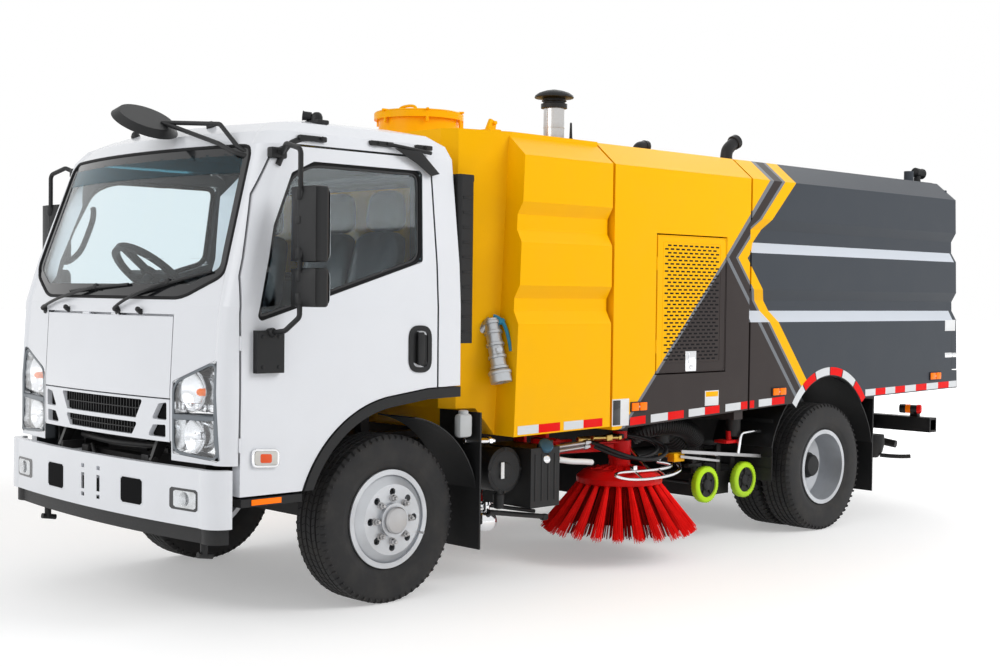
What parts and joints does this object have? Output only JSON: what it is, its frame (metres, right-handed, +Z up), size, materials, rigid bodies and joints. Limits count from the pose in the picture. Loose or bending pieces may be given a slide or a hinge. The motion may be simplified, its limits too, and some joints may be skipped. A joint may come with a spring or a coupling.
{
  "type": "street sweeper truck",
  "caption": "Cab-over street sweeper truck with water tank, engine bay, tipping hopper, side brushes and a suction nozzle, with tilting cab, doors, lids and wheels that move.",
  "frame": {"origin": "on the ground under the middle of the overall length and width", "axes": "+X to the left side of the truck, -Y is the driving direction, +Z up"},
  "size_m": [2.372, 5.9948, 2.5449],
  "materials": {
    "chassis_black": "satin",
    "engine_grey": "matte",
    "cab_white": "gloss",
    "black_plastic": "matte",
    "body_yellow": "gloss",
    "body_slate": "gloss",
    "alloy": "satin",
    "stack_metal": "brushed",
    "pipe_rubber": "matte",
    "clear_glass": "gloss",
    "interior_grey": "matte",
    "lamp_clear": "gloss",
    "tyre_rubber": "matte",
    "wheel_silver": "satin",
    "rod_chrome": "polished",
    "arm_red": "gloss",
    "bristle_red": "matte",
    "wheel_green": "satin"
  },
  "bodies": {
    "chassis": {"frame": "chassis_black", "axles": "chassis_black", "leaf_springs": "chassis_black", "drivetrain": "engine_grey", "front_bumper": "cab_white", "front_apron": "black_plastic", "mudguards": "black_plastic", "left_tanks": "black_plastic", "right_tanks": "black_plastic", "water_tank": "body_yellow", "hydrant_coupling": "alloy", "engine_bay": "body_yellow", "auxiliary_engine": "engine_grey", "exhaust_stack": "stack_metal", "suction_pipe": "pipe_rubber"},
    "cab": {"cab_shell": "cab_white", "cab_glass": "clear_glass", "cab_interior": "interior_grey", "headlamps": "lamp_clear", "grille": "cab_white", "under_mirror": "black_plastic", "cab_trims": "black_plastic"},
    "steering_wheel": {"steering_wheel": "interior_grey"},
    "door_left": {"door_left": "cab_white", "door_glass_left": "clear_glass", "mirrors_left": "black_plastic"},
    "door_right": {"door_right": "cab_white", "door_glass_right": "clear_glass", "mirrors_right": "black_plastic"},
    "front_lid": {"front_lid": "cab_white"},
    "knuckle_left": {"knuckle_left": "chassis_black"},
    "knuckle_right": {"knuckle_right": "chassis_black"},
    "wheel_front_left": {"front_tyre_left": "tyre_rubber", "front_rim_left": "wheel_silver"},
    "wheel_front_right": {"front_tyre_right": "tyre_rubber", "front_rim_right": "wheel_silver"},
    "wheel_rear_left": {"rear_tyres_left": "tyre_rubber", "rear_rims_left": "wheel_silver"},
    "wheel_rear_right": {"rear_tyres_right": "tyre_rubber", "rear_rims_right": "wheel_silver"},
    "manhole_lid": {"manhole_lid": "body_yellow"},
    "service_door_left": {"service_door_left": "body_yellow"},
    "service_door_right": {"service_door_right": "body_yellow"},
    "hopper": {"hopper": "body_slate"},
    "tailgate": {"tailgate": "body_slate"},
    "hoist_barrel": {"hoist_barrel": "chassis_black"},
    "hoist_rod": {"hoist_rod": "rod_chrome"},
    "suction_nozzle": {"suction_nozzle": "chassis_black"},
    "nozzle_wheels_front": {"nozzle_wheels_front": "wheel_green"},
    "nozzle_wheels_rear": {"nozzle_wheels_rear": "wheel_green"},
    "brush_carriage_left": {"brush_carriage_left": "arm_red"},
    "brush_arm_left": {"brush_arm_left": "arm_red"},
    "brush_left": {"brush_left": "bristle_red"},
    "brush_carriage_right": {"brush_carriage_right": "arm_red"},
    "brush_arm_right": {"brush_arm_right": "arm_red"},
    "brush_right": {"brush_right": "bristle_red"}
  },
  "joints": [
    {"name": "cab_tilt", "type": "hinge", "parent": "chassis", "child": "cab", "pos_m": [0, -2.9175, 0.69], "axis": [1, 0, 0], "range_deg": [0, 45]},
    {"name": "door_left_hinge", "type": "hinge", "parent": "cab", "child": "door_left", "pos_m": [0.931, -2.8275, 1], "axis": [0, 0, -1], "range_deg": [0, 70]},
    {"name": "door_right_hinge", "type": "hinge", "parent": "cab", "child": "door_right", "pos_m": [-0.931, -2.8275, 1], "axis": [0, 0, 1], "range_deg": [0, 70]},
    {"name": "front_lid_hinge", "type": "hinge", "parent": "cab", "child": "front_lid", "pos_m": [0, -2.949, 1.317], "axis": [-1, 0, 0], "range_deg": [0, 75]},
    {"name": "steering_left", "type": "hinge", "parent": "chassis", "child": "knuckle_left", "pos_m": [0.59, -1.9475, 0.388], "axis": [0, 0, 1], "range_deg": [-35, 35]},
    {"name": "steering_right", "type": "hinge", "parent": "chassis", "child": "knuckle_right", "pos_m": [-0.59, -1.9475, 0.388], "axis": [0, 0, 1], "range_deg": [-35, 35]},
    {"name": "steering_wheel_turn", "type": "hinge", "parent": "cab", "child": "steering_wheel", "pos_m": [-0.47, -2.4175, 1.5], "axis": [0, 0.6476, 0.7619], "range_deg": [-448, 448]},
    {"name": "wheel_front_left_spin", "type": "hinge", "parent": "knuckle_left", "child": "wheel_front_left", "pos_m": [0.736, -1.9475, 0.388], "axis": [1, 0, 0], "continuous": true},
    {"name": "wheel_front_right_spin", "type": "hinge", "parent": "knuckle_right", "child": "wheel_front_right", "pos_m": [-0.736, -1.9475, 0.388], "axis": [1, 0, 0], "continuous": true},
    {"name": "wheel_rear_left_spin", "type": "hinge", "parent": "chassis", "child": "wheel_rear_left", "pos_m": [0.727, 1.4125, 0.388], "axis": [1, 0, 0], "continuous": true},
    {"name": "wheel_rear_right_spin", "type": "hinge", "parent": "chassis", "child": "wheel_rear_right", "pos_m": [-0.727, 1.4125, 0.388], "axis": [1, 0, 0], "continuous": true},
    {"name": "manhole_lid_hinge", "type": "hinge", "parent": "chassis", "child": "manhole_lid", "pos_m": [0, -0.8075, 2.367], "axis": [-1, 0, 0], "range_deg": [0, 95]},
    {"name": "service_door_left_hinge", "type": "hinge", "parent": "chassis", "child": "service_door_left", "pos_m": [1, -0.2715, 1.38], "axis": [0, 0, -1], "range_deg": [0, 110]},
    {"name": "service_door_right_hinge", "type": "hinge", "parent": "chassis", "child": "service_door_right", "pos_m": [-1, -0.2715, 1.38], "axis": [0, 0, 1], "range_deg": [0, 110]},
    {"name": "hopper_tip", "type": "hinge", "parent": "chassis", "child": "hopper", "pos_m": [0, 2.8025, 0.9], "axis": [-1, 0, 0], "range_deg": [0, 45]},
    {"name": "tailgate_hinge", "type": "hinge", "parent": "hopper", "child": "tailgate", "pos_m": [0, 2.8105, 2.239], "axis": [1, 0, 0], "range_deg": [0, 75]},
    {"name": "hoist_barrel_pivot", "type": "hinge", "parent": "chassis", "child": "hoist_barrel", "pos_m": [0, 0.9325, 0.64], "axis": [1, 0, 0], "range_deg": [0, 21]},
    {"name": "hoist_stroke", "type": "slide", "parent": "hoist_barrel", "child": "hoist_rod", "axis": [0, 0.9316, 0.3635], "range_m": [0, 0.69]},
    {"name": "brush_lower_left", "type": "slide", "parent": "chassis", "child": "brush_carriage_left", "axis": [0, 0, -1], "range_m": [0, 0.14]},
    {"name": "brush_swing_left", "type": "hinge", "parent": "brush_carriage_left", "child": "brush_arm_left", "pos_m": [0.62, -0.6575, 0.6], "axis": [0, 0, -1], "range_deg": [-5, 25]},
    {"name": "brush_spin_left", "type": "hinge", "parent": "brush_arm_left", "child": "brush_left", "pos_m": [0.74, -0.2525, 0.5], "axis": [0, 0, 1], "continuous": true},
    {"name": "brush_lower_right", "type": "slide", "parent": "chassis", "child": "brush_carriage_right", "axis": [0, 0, -1], "range_m": [0, 0.14]},
    {"name": "brush_swing_right", "type": "hinge", "parent": "brush_carriage_right", "child": "brush_arm_right", "pos_m": [-0.62, -0.6575, 0.6], "axis": [0, 0, 1], "range_deg": [-5, 25]},
    {"name": "brush_spin_right", "type": "hinge", "parent": "brush_arm_right", "child": "brush_right", "pos_m": [-0.74, -0.2525, 0.5], "axis": [0, 0, 1], "continuous": true},
    {"name": "nozzle_lower", "type": "slide", "parent": "chassis", "child": "suction_nozzle", "axis": [0, 0, -1], "range_m": [0, 0.235]},
    {"name": "nozzle_wheels_front_spin", "type": "hinge", "parent": "suction_nozzle", "child": "nozzle_wheels_front", "pos_m": [0, 0.4225, 0.347], "axis": [1, 0, 0], "continuous": true},
    {"name": "nozzle_wheels_rear_spin", "type": "hinge", "parent": "suction_nozzle", "child": "nozzle_wheels_rear", "pos_m": [0, 0.7855, 0.347], "axis": [1, 0, 0], "continuous": true}
  ],
  "couplings": [
    {"joint": "steering_right", "follows": "steering_left", "ratio": 1},
    {"joint": "steering_wheel_turn", "follows": "steering_left", "ratio": 12.8},
    {"joint": "hoist_barrel_pivot", "follows": "hopper_tip", "ratio": 0.4544},
    {"joint": "hoist_stroke", "follows": "hopper_tip", "m_per_rad": 0.8766}
  ]
}
